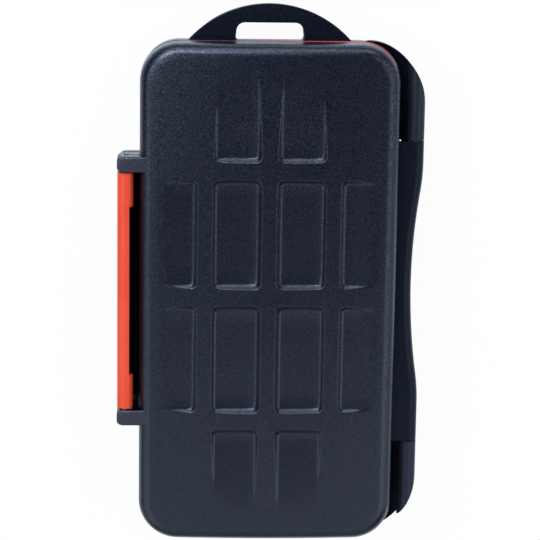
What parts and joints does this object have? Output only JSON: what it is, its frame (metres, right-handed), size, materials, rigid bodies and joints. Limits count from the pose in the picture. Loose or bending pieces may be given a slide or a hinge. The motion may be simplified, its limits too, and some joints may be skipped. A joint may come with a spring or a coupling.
{
  "type": "memory card case",
  "caption": "Rounded pocket case for memory cards: crowned hinged lid with moulded panels, side swing latch, rim seal, carry loop and soft card trays.",
  "frame": {"origin": "middle of the shell's outline on the flat back face", "axes": "+X towards the hinge, -X towards the latch, +Y towards the carry loop, +Z out of the lid's front"},
  "size_m": [0.0786, 0.1402, 0.022],
  "materials": {
    "black_plastic": "fine grain",
    "red_silicone": "satin",
    "orange_plastic": "satin",
    "steel": "bright",
    "soft_grey": "matte"
  },
  "bodies": {
    "base": {"base_shell": "black_plastic", "seal_ring": "red_silicone", "base_card_tray": "soft_grey", "hinge_pin_upper": "steel", "hinge_pin_lower": "steel"},
    "lid": {"lid_shell": "black_plastic", "lid_card_tray": "soft_grey", "latch_pin": "steel"},
    "latch": {"latch": "orange_plastic"}
  },
  "joints": [
    {"name": "lid_hinge", "type": "hinge", "parent": "base", "child": "lid", "pos_m": [0.0375, 0, 0.0123], "axis": [0, 1, 0], "range_deg": [0, 180]},
    {"name": "latch_pivot", "type": "hinge", "parent": "lid", "child": "latch", "pos_m": [-0.0366, 0.001, 0.01735], "axis": [0, 1, 0], "range_deg": [0, 100]}
  ]
}
